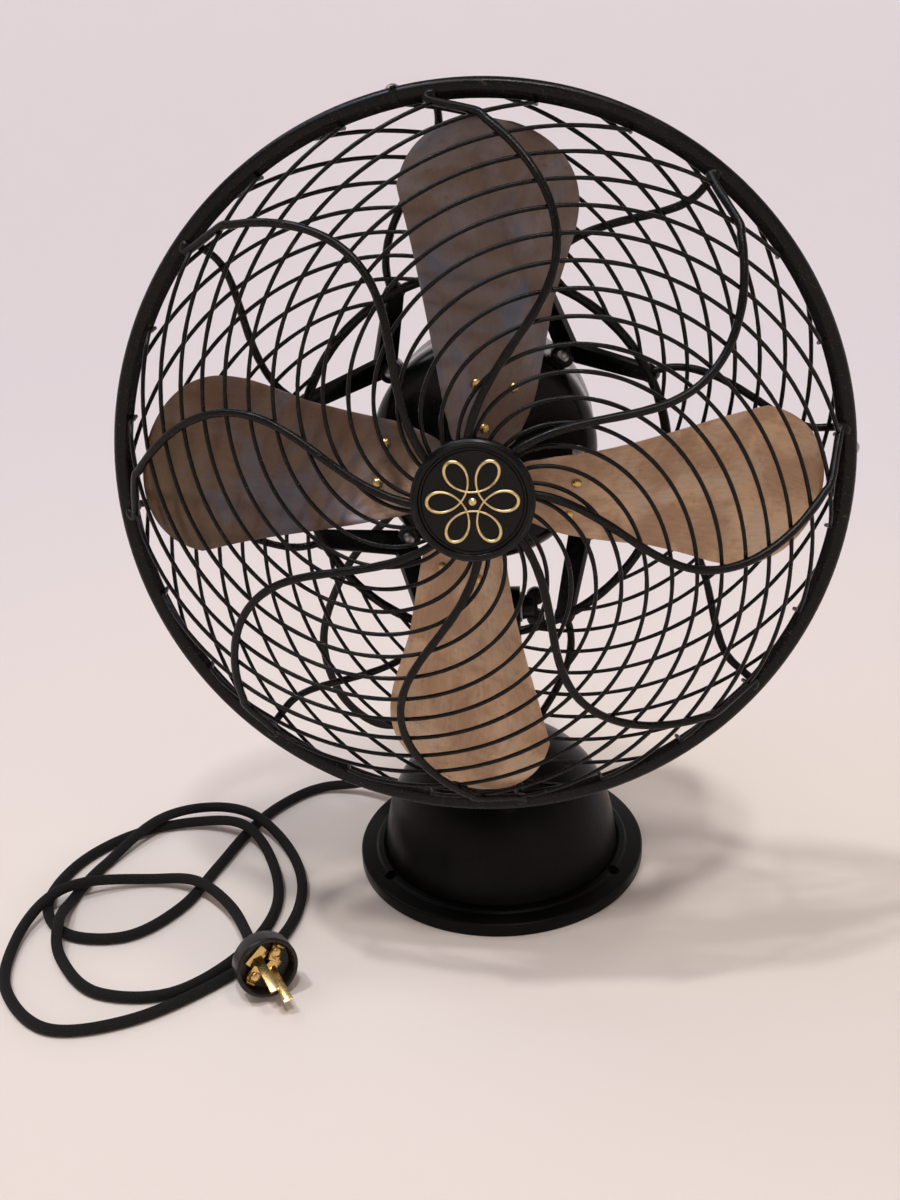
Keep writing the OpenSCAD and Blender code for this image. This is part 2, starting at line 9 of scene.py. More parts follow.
import bmesh
import bpy
from mathutils import Matrix, Vector

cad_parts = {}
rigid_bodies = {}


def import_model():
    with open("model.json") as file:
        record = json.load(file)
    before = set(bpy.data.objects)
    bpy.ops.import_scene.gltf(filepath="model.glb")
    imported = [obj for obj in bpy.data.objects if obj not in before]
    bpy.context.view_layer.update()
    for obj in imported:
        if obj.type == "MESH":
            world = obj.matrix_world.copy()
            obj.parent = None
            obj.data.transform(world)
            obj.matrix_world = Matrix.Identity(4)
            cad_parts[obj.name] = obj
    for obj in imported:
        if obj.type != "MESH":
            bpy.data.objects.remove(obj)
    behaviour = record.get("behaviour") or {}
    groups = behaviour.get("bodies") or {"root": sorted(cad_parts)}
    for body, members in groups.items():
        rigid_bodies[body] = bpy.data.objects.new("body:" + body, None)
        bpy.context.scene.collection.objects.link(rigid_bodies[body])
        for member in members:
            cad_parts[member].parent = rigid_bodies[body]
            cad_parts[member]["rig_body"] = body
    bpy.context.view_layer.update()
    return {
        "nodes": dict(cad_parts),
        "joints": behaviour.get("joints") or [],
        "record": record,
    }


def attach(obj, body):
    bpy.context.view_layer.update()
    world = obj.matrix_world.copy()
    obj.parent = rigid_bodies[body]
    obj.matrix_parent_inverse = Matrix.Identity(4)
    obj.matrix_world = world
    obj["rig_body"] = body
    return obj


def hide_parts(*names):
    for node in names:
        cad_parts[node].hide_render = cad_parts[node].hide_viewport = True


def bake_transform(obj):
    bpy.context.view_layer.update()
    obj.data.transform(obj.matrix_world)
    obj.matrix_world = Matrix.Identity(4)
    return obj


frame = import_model()

MM = 0.001
WORLD = Matrix.Scale(MM, 4)
JOINTS = {j["name"]: j for j in frame["joints"]}


def head_place():
    axis = Vector(JOINTS["fan_spin"]["axis"])
    across = Vector((1, 0, 0))
    turn = Matrix((across, axis.cross(across), axis)).transposed().to_4x4()
    return Matrix.Translation(JOINTS["fan_spin"]["pos_m"]) @ turn @ Matrix.Scale(MM, 4)


HEAD = head_place()


def span(node, place=HEAD):
    """Lowest and highest corners of a CAD node, in millimetres in a place."""
    back = place.inverted()
    points = [back @ v.co for v in frame["nodes"][node].data.vertices]
    return [Vector([f(p[k] for p in points) for k in range(3)]) for f in (min, max)]


# ---------------------------------------------------------------- camera

def camera():
    eye = Vector((0.0442, -0.9205, 0.6467))
    yaw, pitch, roll = -0.0813, 0.4352, -0.0512
    data = bpy.data.cameras.new("camera")
    data.lens = 42
    data.sensor_width = 36
    data.sensor_fit = "AUTO"
    data.clip_start = 0.01
    data.clip_end = 100
    ahead = Vector((math.sin(yaw) * math.cos(pitch), math.cos(yaw) * math.cos(pitch),
                    -math.sin(pitch)))
    right = Vector((math.cos(yaw), -math.sin(yaw), 0))
    up = right.cross(ahead)
    turned_right = right * math.cos(roll) + up * math.sin(roll)
    turned_up = up * math.cos(roll) - right * math.sin(roll)
    cam = bpy.data.objects.new("camera", data)
    turn = Matrix((turned_right, turned_up, -ahead)).transposed().to_4x4()
    cam.matrix_world = Matrix.Translation(eye) @ turn
    bpy.context.scene.collection.objects.link(cam)
    bpy.context.scene.camera = cam


camera()


# ---------------------------------------------------------------- shader helpers

class Shader:
    """Adds and joins the nodes of one node tree."""

    def __init__(self, tree):
        self.tree = tree

    def add(self, kind, **settings):
        made = self.tree.nodes.new(kind)
        for name, value in settings.items():
            setattr(made, name, value)
        return made

    def feed(self, socket, value):
        if isinstance(value, bpy.types.NodeSocket):
            self.tree.links.new(value, socket)
        else:
            socket.default_value = value

    def math(self, operation, a, b=0.0, clamp=False):
        made = self.add("ShaderNodeMath", operation=operation, use_clamp=clamp)
        self.feed(made.inputs[0], a)
        self.feed(made.inputs[1], b)
        return made.outputs[0]

    def noise(self, where, scale, detail=3.0, rough=0.55, warp=0.0):
        made = self.add("ShaderNodeTexNoise")
        self.feed(made.inputs["Vector"], where)
        self.feed(made.inputs["Scale"], scale)
        made.inputs["Detail"].default_value = detail
        made.inputs["Roughness"].default_value = rough
        made.inputs["Distortion"].default_value = warp
        return made.outputs["Fac"]

    def band(self, value, low, high, to_low=0.0, to_high=1.0):
        made = self.add("ShaderNodeMapRange", interpolation_type="SMOOTHSTEP")
        for name, number in (("Value", value), ("From Min", low), ("From Max", high),
                             ("To Min", to_low), ("To Max", to_high)):
            self.feed(made.inputs[name], number)
        return made.outputs["Result"]

    def blend(self, share, a, b):
        made = self.add("ShaderNodeMix", data_type="RGBA")
        self.feed(made.inputs["Factor"], share)
        self.feed(made.inputs["A"], a)
        self.feed(made.inputs["B"], b)
        return made.outputs["Result"]

    def stretch(self, where, scale):
        made = self.add("ShaderNodeMapping", vector_type="POINT")
        self.feed(made.inputs["Vector"], where)
        made.inputs["Scale"].default_value = scale
        return made.outputs["Vector"]


def effect(name, inputs, outputs):
    """Starts a shader group with named inputs (name: default) and outputs (name: kind)."""
    tree = bpy.data.node_groups.new(name, "ShaderNodeTree")
    for label, value in inputs.items():
        kind = "NodeSocketFloat"
        if isinstance(value, tuple):
            kind = "NodeSocketColor" if len(value) == 4 else "NodeSocketVector"
        socket = tree.interface.new_socket(label, in_out="INPUT", socket_type=kind)
        socket.default_value = value
    for label, kind in outputs.items():
        tree.interface.new_socket(label, in_out="OUTPUT", socket_type="NodeSocket" + kind)
    shader = Shader(tree)
    return shader, shader.add("NodeGroupInput").outputs, shader.add("NodeGroupOutput").inputs


def tone(red, green, blue):
    return (red, green, blue, 1.0)


def enamel_skin():
    """Old japan black: brown where it has worn, with dust, fine pits and brush waves."""
    s, given, made = effect("Enamel Skin", {
        "Where": (0.0, 0.0, 0.0), "Black": tone(0.01, 0.01, 0.01),
        "Worn": tone(0.08, 0.05, 0.03), "Size": 60.0, "Wear": 0.3, "Gloss": 0.25},
        {"Color": "Color", "Roughness": "Float", "Height": "Float"})
    where = given["Where"]
    clouds = s.noise(where, given["Size"], 5, 0.6, 0.4)
    specks = s.noise(where, s.math("MULTIPLY", given["Size"], 14), 2, 0.5)
    limit = s.math("SUBTRACT", 0.8, s.math("MULTIPLY", given["Wear"], 0.4))
    worn = s.band(clouds, limit, s.math("ADD", limit, 0.12))
    chips = s.band(specks, s.math("ADD", limit, 0.02), s.math("ADD", limit, 0.1))
    dust = s.noise(where, s.math("MULTIPLY", given["Size"], 0.35), 4, 0.7)
    rubbed = s.math("MAXIMUM", s.math("MULTIPLY", worn, 0.55), chips, clamp=True)
    colour = s.blend(rubbed, given["Black"], given["Worn"])
    film = s.band(dust, 0.5, 0.8, 0.0, 0.006)
    s.feed(made["Color"], s.blend(film, colour, tone(0.45, 0.42, 0.38)))
    rough = s.math("ADD", given["Gloss"], s.math("MULTIPLY", rubbed, 0.25))
    s.feed(made["Roughness"], s.math("ADD", rough, s.band(dust, 0.3, 0.75, -0.03, 0.16),
                                     clamp=True))
    peel = s.noise(where, s.math("MULTIPLY", given["Size"], 5), 2, 0.4)
    height = s.math("ADD", s.math("MULTIPLY", peel, 0.5), s.math("MULTIPLY", specks, 0.35))
    s.feed(made["Height"], s.math("SUBTRACT", height, s.math("MULTIPLY", chips, 0.6)))
    return s.tree


def metal_skin():
    """Handled metal: rubbed grain along one direction, tarnish in blotches, fine scratches."""
    s, given, made = effect("Metal Skin", {
        "Where": (0.0, 0.0, 0.0), "Grain": (0.0, 0.0, 0.0), "Bright": tone(0.6, 0.6, 0.6),
        "Tarnish": tone(0.3, 0.25, 0.2), "Bloom": tone(0.3, 0.3, 0.3), "Size": 30.0,
        "Age": 0.5, "Gloss": 0.3},
        {"Color": "Color", "Roughness": "Float", "Height": "Float"})
    grain = s.noise(given["Grain"], 1.0, 4, 0.7)
    blotch = s.noise(given["Where"], given["Size"], 6, 0.62, 0.6)
    spots = s.noise(given["Where"], s.math("MULTIPLY", given["Size"], 9), 3, 0.6)
    clouds = s.noise(given["Where"], s.math("MULTIPLY", given["Size"], 0.9), 4, 0.6, 1.6)
    start = s.math("SUBTRACT", 0.72, s.math("MULTIPLY", given["Age"], 0.4))
    aged = s.band(blotch, start, s.math("ADD", start, 0.2))
    spotted = s.band(spots, 0.6, 0.74, 0.0, 0.7)
    share = s.math("ADD", s.math("MULTIPLY", aged, 0.85),
                   s.math("MULTIPLY", spotted, given["Age"]), clamp=True)
    # Painted reflection: clouds of the sheen colour laid over the bright metal. This gives a
    # bluish sheen on the shaded blades; other metals give it their bright tone, so nothing
    # shows.
    with_painted_sheen = s.blend(s.math("MULTIPLY", s.band(clouds, 0.44, 0.6), given["Age"]),
                      given["Bright"], given["Bloom"])
    colour = s.blend(share, with_painted_sheen, given["Tarnish"])
    s.feed(made["Color"], s.blend(s.band(grain, 0.4, 0.75, 0.0, 0.16), colour,
                                  tone(0.08, 0.06, 0.05)))
    rough = s.math("ADD", given["Gloss"], s.math("MULTIPLY", share, 0.18))
    s.feed(made["Roughness"], s.math("ADD", rough, s.band(grain, 0.3, 0.7, 0.0, 0.12),
                                     clamp=True))
    s.feed(made["Height"], s.math("ADD", s.math("MULTIPLY", grain, 0.6),
                                  s.math("MULTIPLY", spots, 0.4)))
    return s.tree


def braid_weave():
    """Plaited cotton on a tube: U runs along it and V around it."""
    s, given, made = effect("Braid Weave", {
        "UV": (0.0, 0.0, 0.0), "Dark": tone(0.01, 0.01, 0.01),
        "Light": tone(0.05, 0.05, 0.05), "Along": 500.0, "Around": 8.0},
        {"Color": "Color", "Height": "Float"})
    parts = s.add("ShaderNodeSeparateXYZ")
    s.feed(parts.inputs[0], given["UV"])
    along = s.math("MULTIPLY", parts.outputs[0], given["Along"])
    around = s.math("MULTIPLY", parts.outputs[1], given["Around"])
    waves = []
    for operation in ("ADD", "SUBTRACT"):
        angle = s.math("MULTIPLY", s.math(operation, along, around), 2 * math.pi)
        waves.append(s.math("SINE", angle))
    over = s.band(s.math("MULTIPLY", waves[0], waves[1]), -0.7, 0.7)
    fuzz = s.noise(given["UV"], 900.0, 3, 0.7)
    s.feed(made["Height"], s.math("ADD", over, s.math("MULTIPLY", fuzz, 0.5)))
    # Painted highlight and shade: the over-strands are painted lighter and the gaps between them
    # darker, on top of the bump.
    lit = s.math("MULTIPLY", over, s.band(fuzz, 0.3, 0.8, 0.4, 1.0))
    s.feed(made["Color"], s.blend(lit, given["Dark"], given["Light"]))
    return s.tree


def cloth_skin():
    """Felt or lint: a soft mottle with loose fibres."""
    s, given, made = effect("Fibre Skin", {
        "Where": (0.0, 0.0, 0.0), "Deep": tone(0.02, 0.02, 0.02),
        "Pale": tone(0.1, 0.1, 0.1), "Size": 300.0},
        {"Color": "Color", "Height": "Float"})
    fibres = s.noise(given["Where"], given["Size"], 6, 0.75, 1.5)
    patches = s.noise(given["Where"], s.math("MULTIPLY", given["Size"], 0.08), 3)
    share = s.math("MULTIPLY", fibres, s.band(patches, 0.3, 0.7, 0.5, 1.0))
    s.feed(made["Color"], s.blend(share, given["Deep"], given["Pale"]))
    s.feed(made["Height"], fibres)
    return s.tree


ENAMEL = enamel_skin()
METAL = metal_skin()
BRAID = braid_weave()
FIBRE = cloth_skin()


def finish_with(name, skin, bump, bump_size, constants, coords="Object", grain=None,
                grain_from="Object", **given):
    """A material whose colour, roughness and bump come from one skin group."""
    material = bpy.data.materials.new(name)
    material.use_nodes = True
    s = Shader(material.node_tree)
    surface = material.node_tree.nodes["Principled BSDF"]
    for label, value in constants.items():
        surface.inputs[label].default_value = value
    group = s.add("ShaderNodeGroup", node_tree=skin)
    places = s.add("ShaderNodeTexCoord").outputs
    s.feed(group.inputs["UV" if coords == "UV" else "Where"], places[coords])
    if grain:
        s.feed(group.inputs["Grain"], s.stretch(places[grain_from], grain))
    for label, value in given.items():
        s.feed(group.inputs[label], value)
    s.feed(surface.inputs["Base Color"], group.outputs["Color"])
    if "Roughness" in group.outputs:
        s.feed(surface.inputs["Roughness"], group.outputs["Roughness"])
    relief = s.add("ShaderNodeBump")
    relief.inputs["Strength"].default_value = bump
    relief.inputs["Distance"].default_value = bump_size * MM
    s.feed(relief.inputs["Height"], group.outputs["Height"])
    s.feed(surface.inputs["Normal"], relief.outputs["Normal"])
    return material


def enamel(name, black, worn, size, wear, gloss, bump=0.25, ior=1.4):
    return finish_with(name, ENAMEL, bump, 0.4, {"IOR": ior}, Black=black, Worn=worn,
                       Size=size, Wear=wear, Gloss=gloss)


def metal(name, bright, tarnish, size, age, gloss, grain, bump=0.15, shine=1.0,
          grain_from="Object", painted_sheen=None):
    return finish_with(name, METAL, bump, 0.15, {"Metallic": shine}, grain=grain,
                       grain_from=grain_from, Bright=bright, Tarnish=tarnish,
                       Bloom=painted_sheen or bright, Size=size, Age=age, Gloss=gloss)


BROWN = tone(0.07, 0.05, 0.035)
EVEN = (900, 900, 900)
FINISHES = {
    "black_casting": enamel("cast japan", tone(0.002, 0.002, 0.002), BROWN, 45, 0.12, 0.3,
                            0.5, 1.2),
    "black_japan": enamel("gloss japan", tone(0.002, 0.002, 0.002), BROWN, 60, 0.25, 0.2, 0.2,
                          1.3),
    "black_guard": enamel("wire japan", tone(0.003, 0.003, 0.0028), tone(0.13, 0.085, 0.05),
                          95, 0.38, 0.24, 0.45, 1.29),
    "steel": metal("dull steel", tone(0.42, 0.42, 0.43), tone(0.16, 0.13, 0.1), 90, 0.5, 0.3,
                   EVEN),
    "spider_iron": enamel("dark iron", tone(0.012, 0.011, 0.01), BROWN, 70, 0.4, 0.45, 0.6),
    "brass": metal("bright brass", tone(0.78, 0.55, 0.22), tone(0.32, 0.2, 0.08), 120, 0.45,
                   0.22, EVEN),
    "gilt": metal("worn gilt", tone(0.85, 0.66, 0.34), tone(0.35, 0.24, 0.1), 150, 0.5, 0.28,
                  EVEN),
    "aged_brass_blade": metal("aged blade", tone(0.36, 0.25, 0.17), tone(0.22, 0.14, 0.09),
                              22, 0.62, 0.36, (6, 90, 1), 0.2, 0.7, "UV"),
    "bakelite": enamel("brown bakelite", tone(0.008, 0.006, 0.005), tone(0.05, 0.03, 0.018),
                       110, 0.2, 0.28, 0.1, 1.4),
    "copper_wire": metal("wound copper", tone(0.55, 0.24, 0.12), tone(0.2, 0.08, 0.04), 80,
                         0.4, 0.32, (3000, 60, 3000)),
    "felt": finish_with("green felt", FIBRE, 0.6, 0.5, {"Roughness": 0.95},
                        Deep=tone(0.012, 0.02, 0.012), Pale=tone(0.06, 0.09, 0.06)),
    "braid": finish_with("black braid", BRAID, 0.8, 0.5,
                         {"Roughness": 0.8, "IOR": 1.3},
                         coords="UV", Dark=tone(0.004, 0.004, 0.004),
                         Light=tone(0.022, 0.021, 0.02), Along=760.0, Around=9.0),
    "lead_cloth": finish_with("lead braid", BRAID, 0.8, 0.4,
                              {"Roughness": 0.85, "IOR": 1.35},
                              coords="UV", Dark=tone(0.006, 0.005, 0.004),
                              Light=tone(0.05, 0.042, 0.035), Along=150.0, Around=7.0),
}


# ---------------------------------------------------------------- piece helpers

def piece(name, shape, slot, body, stands_for=(), place=WORLD, sharp=32, finish=None):
    """Turns a bmesh or mesh in millimetres into a finished piece of the fan."""
    if isinstance(shape, bmesh.types.BMesh):
        data = bpy.data.meshes.new(name)
        shape.to_mesh(data)
        shape.free()
    else:
        data = shape
    data.transform(place)
    data.shade_smooth()
    data.set_sharp_from_angle(angle=math.radians(sharp))
    data.materials.clear()
    data.materials.append(finish or FINISHES[slot])
    made = bpy.data.objects.new(name, data)
    bpy.context.scene.collection.objects.link(made)
    if body:
        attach(made, body)
    if stands_for:
        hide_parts(*stands_for)
    return made


def rounded(corners, steps=4):
    """An outline from (x, y, radius) corners, each rounded with an arc."""
    line = []
    for i, (x, y, r) in enumerate(corners):
        here = Vector((x, y))
        if r == 0:
            line.append(here)
            continue
        before = (Vector(corners[i - 1][:2]) - here).normalized()
        after = (Vector(corners[(i + 1) % len(corners)][:2]) - here).normalized()
        half = before.angle(after) / 2
        centre = here + (before + after).normalized() * r / math.sin(half)
        start = here + before * r / math.tan(half) - centre
        end = here + after * r / math.tan(half) - centre
        turn = start.angle_signed(end)
        line += [centre + Matrix.Rotation(-turn * k / steps, 2) @ start
                 for k in range(steps + 1)]
    return line


def spun(outline, steps=128):
    """A solid of revolution about Z from a closed outline of (radius, height) points."""
    bm = bmesh.new()
    ring = [bm.verts.new((max(p[0], 0.0), 0, p[1])) for p in outline]
    for a, b in zip(ring, ring[1:] + ring[:1]):
        bm.edges.new((a, b))
    bmesh.ops.spin(bm, geom=bm.verts[:] + bm.edges[:], cent=(0, 0, 0), axis=(0, 0, 1),
                   steps=steps, angle=2 * math.pi, use_merge=True)
    bmesh.ops.remove_doubles(bm, verts=bm.verts, dist=0.001)
    bmesh.ops.dissolve_degenerate(bm, edges=bm.edges, dist=0.001)
    bmesh.ops.recalc_face_normals(bm, faces=bm.faces)
    return bm


def bars(lines, radius, sides=8, closed=False, swell=None):
    """Round bars along lines of points; swell gives the share of the radius at each point."""
    data = bpy.data.curves.new("bars", "CURVE")
    data.dimensions = "3D"
    data.bevel_depth = radius
    data.bevel_resolution = (sides - 4) // 2
    data.use_fill_caps = True
    for line in lines:
        spline = data.splines.new("POLY")
        spline.points.add(len(line) - 1)
        spline.use_cyclic_u = closed
        for i, (point, at) in enumerate(zip(spline.points, line)):
            point.co = (*at, 1)
            point.radius = swell(i / (len(line) - 1), at) if swell else 1
    holder = bpy.data.objects.new("bars", data)
    mesh = bpy.data.meshes.new_from_object(holder)
    bpy.data.objects.remove(holder)
    bpy.data.curves.remove(data)
    return mesh


def joined(*shapes):
    """One bmesh from several bmeshes or meshes."""
    whole = bmesh.new()
    for shape in shapes:
        if isinstance(shape, bmesh.types.BMesh):
            mesh = bpy.data.meshes.new("part")
            shape.to_mesh(mesh)
            shape.free()
            shape = mesh
        whole.from_mesh(shape)
        bpy.data.meshes.remove(shape)
    return whole


def softened(node, slot, width, fuller=0.0, sharp=40):
    """A CAD node's own shape with its edges rounded, and made fuller as a casting is."""
    source = frame["nodes"][node]
    bm = bmesh.new()
    bm.from_mesh(source.data)
    bmesh.ops.remove_doubles(bm, verts=bm.verts, dist=1e-6)
    bmesh.ops.dissolve_limit(bm, angle_limit=math.radians(2), verts=bm.verts,
                             edges=bm.edges)
    bm.transform(WORLD.inverted())
    bm.normal_update()
    for vert in bm.verts:
        vert.co += vert.normal * fuller
    made = piece(node + "_finished", bm, slot, source["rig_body"], [node], sharp=180)
    edge = made.modifiers.new("rounded edges", "BEVEL")
    edge.width = width * MM
    edge.segments = 3
    edge.limit_method = "ANGLE"
    edge.angle_limit = math.radians(sharp)
    edge.use_clamp_overlap = True
    edge.harden_normals = True
    return made


def drum_at(start, end, radius, steps=32):
    """A round bar from start to end, used to cut with."""
    start, end = Vector(start), Vector(end)
    bm = bmesh.new()
    bmesh.ops.create_cone(bm, cap_ends=True, segments=steps, radius1=radius, radius2=radius,
                          depth=(end - start).length)
    turn = (end - start).to_track_quat("Z", "Y").to_matrix().to_4x4()
    bm.transform(Matrix.Translation((start + end) / 2) @ turn)
    return bm


def carved(shape, cutter):
    """The mesh of one bmesh with another taken out of it."""
    holders = []
    for bm in (shape, cutter):
        data = bpy.data.meshes.new("carving")
        bm.to_mesh(data)
        bm.free()
        holders.append(bpy.data.objects.new("carving", data))
        bpy.context.scene.collection.objects.link(holders[-1])
    cut = holders[0].modifiers.new("cut", "BOOLEAN")
    cut.operation = "DIFFERENCE"
    cut.solver = "EXACT"
    cut.use_self = True
    cut.object = holders[1]
    result = bpy.data.meshes.new_from_object(
        holders[0].evaluated_get(bpy.context.evaluated_depsgraph_get()))
    for holder in holders:
        bpy.data.objects.remove(holder)
    return result


def polar(radius, degrees, height=0.0):
    angle = math.radians(degrees)
    return Vector((radius * math.cos(angle), radius * math.sin(angle), height))


def mix(a, b, share):
    return a + (b - a) * share


def clamp(value):
    return max(0.0, min(1.0, value))


def ease(value):
    return (1 - math.cos(math.pi * clamp(value))) / 2


def smooth(points, spacing):
    """Points evenly spaced on a smooth curve through the given points."""
    points = [Vector(p) for p in points]
    fine = []
    last = len(points) - 1
    for i in range(last):
        a, b, c, d = (points[max(i - 1, 0)], points[i], points[i + 1],
                      points[min(i + 2, last)])
        for k in range(24):
            t = k / 24
            fine.append((2 * b + (c - a) * t + (2 * a - 5 * b + 4 * c - d) * t * t
                         + (3 * b - a - 3 * c + d) * t ** 3) / 2)
    fine.append(points[-1])
    total = sum((q - p).length for p, q in zip(fine, fine[1:]))
    step = total / round(total / spacing)
    even, left = [fine[0]], step
    for p, q in zip(fine, fine[1:]):
        gap = (q - p).length
        while gap >= left:
            p = p + (q - p) * (left / gap)
            even.append(p)
            gap -= left
            left = step
        left -= gap
    if (even[-1] - fine[-1]).length > step / 2:
        even.append(fine[-1])
    else:
        even[-1] = fine[-1]
    return even, total


# ---------------------------------------------------------------- supply cord

CORD_D = 8
LAID = CORD_D / 2 + 0.2
OVER = LAID + CORD_D + 0.8
LIFT = LAID + 2
CORD_ROUTE = [
    (-80, 54, 24), (-100, 67, 21), (-126, 80, 10), (-158, 82, LAID), (-187, 55, LAID),
    (-206, 18, LAID), (-221, -30, LAID), (-238, -80, LAID), (-270, -114, LAID),
    (-316, -112, LAID), (-342, -76, LAID), (-333, -24, LAID), (-298, 16, LAID),
    (-250, 30, LIFT), (-208, 15, OVER), (-180, -22, LIFT), (-166, -78, LAID),
    (-181, -132, LAID), (-222, -175, LAID), (-276, -175, LAID), (-312, -140, LIFT),
    (-322, -108, OVER), (-324, -70, LAID), (-311, -24, LAID), (-281, 22, OVER),
    (-242, 41, OVER), (-201, 28, OVER), (-165, -14, LIFT), (-149, -66, LAID),
    (-158, -120, LAID), (-196, -167, LAID), (-246, -203, LAID), (-300, -211, LAID),
    (-341, -172, LAID), (-351, -122, LIFT), (-340, -83, OVER), (-316, -61, OVER),
    (-270, -48, LIFT), (-230, -60, OVER), (-196, -94, 14.5), (-171, -142, 18)]


def supply_cord():
    line, length = smooth(CORD_ROUTE, 3)
    for point in line:
        point.z = max(point.z, LAID)
    made = piece("braided_cord", bars([line], CORD_D / 2, 14), "braid", "base",
                 ["supply_cord"], sharp=180)
    return made


# ---------------------------------------------------------------- plug

PLUG_AT = Vector((-157, -168, 24))
PLUG_HEADING, PLUG_DIP, PLUG_ROLL = -62, -12, 37
PLUG_R = 21.5


def plug_place():
    turn = (Matrix.Rotation(math.radians(PLUG_HEADING), 4, "Z")
            @ Matrix.Rotation(math.radians(90 + PLUG_DIP), 4, "Y")
            @ Matrix.Rotation(math.radians(PLUG_ROLL), 4, "Z"))
    return WORLD @ Matrix.Translation(PLUG_AT) @ turn


def plug_cup():
    """The bakelite cup and its sleeve."""
    outline = rounded([
        (3.2, -30, 0.4), (7.2, -30, 1.2), (9.5, -16, 3), (17, -15, 4), (19.5, -7, 2),
        (PLUG_R, -5, 1), (PLUG_R, 9, 1.4), (PLUG_R - 3, 9, 1.2), (PLUG_R - 3.6, -2, 2),
        (3.2, -2, 0.4)])
    return piece("plug_cup", spun(outline, 72), "bakelite", "base", ["plug_body"],
                 plug_place())


def block(low, high, turn=None):
    """A box between two corners, with its edges rounded."""
    bm = bmesh.new()
    bmesh.ops.create_cube(bm, size=1)
    size = Vector(high) - Vector(low)
    bmesh.ops.scale(bm, vec=size, verts=bm.verts)
    bmesh.ops.translate(bm, vec=(Vector(low) + Vector(high)) / 2, verts=bm.verts)
    bmesh.ops.bevel(bm, geom=bm.edges[:], offset=min(size) * 0.2, segments=2, profile=0.5,
                    affect="EDGES", material=-1)
    if turn:
        bm.transform(turn)
    return bm


def plug_terminals():
    """Two bent terminal straps and the flat prongs that lean out of the cup."""
    shapes = []
    for side in (-1, 1):
        lean = (Matrix.Translation((side * 6.5, 0, -1.4))
                @ Matrix.Rotation(math.radians(-27), 4, "Z")
                @ Matrix.Rotation(math.radians(25), 4, "Y"))
        shapes.append(block((-0.8, -3.2, 0), (0.8, 3.2, 31.4), lean))
        shapes.append(block((side * 6.5 - 4, -8, -2), (side * 6.5 + 4, 8, -0.6)))
        fold = Matrix.Translation((side, side * 9.5, 1.6)) @ Matrix.Rotation(
            math.radians(side * -24), 4, "X") @ Matrix.Rotation(math.radians(14), 4, "Z")
        shapes.append(block((-4.2, -5, -0.7), (4.2, 7, 0.7), fold))
        shapes.append(block((-3.4, 5.6 * side - 1, -0.6), (3.4, 5.6 * side + 1, 4.6), fold))
    return piece("plug_terminals", joined(*shapes), "brass", "base", ["plug_prongs"],
                 plug_place())


def plug_terminal_screws():
    shapes = []
    for side in (-1, 1):
        head = spun(rounded([(0, 5, 0), (3.6, 5, 0.3), (3.6, 6, 0.8), (1.6, 7, 1), (0, 7.1, 0)]),
                    24)
        shank = spun([(0, -2), (2, -2), (2, 5), (0, 5)], 16)
        for shape in (head, shank):
            bmesh.ops.translate(shape, vec=(0, side * 11, -2), verts=shape.verts)
            shapes.append(shape)
    return piece("plug_terminal_screws", joined(*shapes), "brass", "base", ["plug_screws"],
                 plug_place())


def plug_conductors():
    """Bared copper from the sleeve to each screw."""
    lines = []
    for side in (-1, 1):
        for k in range(5):
            spread = (k - 2) * 0.35
            ends = [(0, side * 1.2 + spread, -6), (spread, side * 3, -1),
                    (spread * 2 + 1.5, side * 6.5, 3.2), (spread, side * 9, 3.4),
                    (3.6, side * 11, 3.2), (0.5, side * (14 + spread), 3.2)]
            lines.append(smooth(ends, 0.8)[0])
    return piece("plug_conductors", bars(lines, 0.42, 6), "copper_wire", "base", (),
                 plug_place())


PLUG = [plug_cup(), plug_terminals(), plug_terminal_screws(), plug_conductors()]
supply_cord()


# ---------------------------------------------------------------- guard

RIM_LOW, RIM_HIGH = span("rim_band")
RING_LOW, RING_HIGH = span("back_ring")
RIM_R = RIM_HIGH.x
RIM_IN = RIM_R - 2.4
FACE_IN = RIM_R - 12
DOME_Z = RIM_HIGH.z
DOME_H = 72
RING_R = RING_HIGH.x - 3
RING_Z = (RING_LOW.z + RING_HIGH.z) / 2
HUB_R = 33
RIB_R = 2.5
WIRE_R = 1.3
WIRE_END = FACE_IN - WIRE_R + 0.4
RIBS, WIRES = 8, 24
GUARD_TURN, RING_TURN = 5, 26


def dome(r):
    return DOME_Z + DOME_H * clamp(1 - (r / (FACE_IN + 0.5)) ** 2) ** 0.51


def back(r):
    return RING_Z + 2 + 24 * clamp((r - RING_R) / (RIM_IN - RING_R)) ** 1.6


def front_rib(u):
    r = mix(HUB_R - 5, RIM_R - 2, u)
    return polar(r, GUARD_TURN + 1 - 27 * math.sin(math.pi * u), dome(r) + RIB_R)


def front_wire(u):
    r = mix(HUB_R - 5, WIRE_END, u)
    return polar(r, GUARD_TURN - 5 - 160 * u ** 1.25, dome(r) - WIRE_R - 0.1)


def back_rib(u):
    r = mix(RING_R, RIM_IN - 0.3, u)
    return polar(r, RING_TURN - 21 * ease(u / 0.85), back(r) - RIB_R)


def back_wire(u):
    r = mix(RING_R, RIM_IN - 0.3, u)
    return polar(r, RING_TURN + 5 + 106 * u, back(r) + WIRE_R)


def turned(line, count):
    """Copies of a line of points, evenly turned about the axis."""
    return [[Matrix.Rotation(2 * math.pi * k / count, 3, "Z") @ p for p in line]
            for k in range(count)]


def lumpy(amount):
    """A share of radius that wanders a little, as brushed-on enamel leaves it."""
    def share(u, at):
        wave = math.sin(at.x * 0.31 + at.y * 0.17) + math.sin(at.y * 0.43 - at.x * 0.11)
        return 1 + amount * wave / 2
    return share


def rib_end(u, at):
    """A forged end that swells a little and closes in a round tip."""
    tip = clamp((u - 0.985) / 0.015)
    swell = 1 + 0.16 * clamp((u - 0.95) / 0.03)
    return lumpy(0.05)(u, at) * swell * math.sqrt(max(0.04, 1 - tip ** 2))


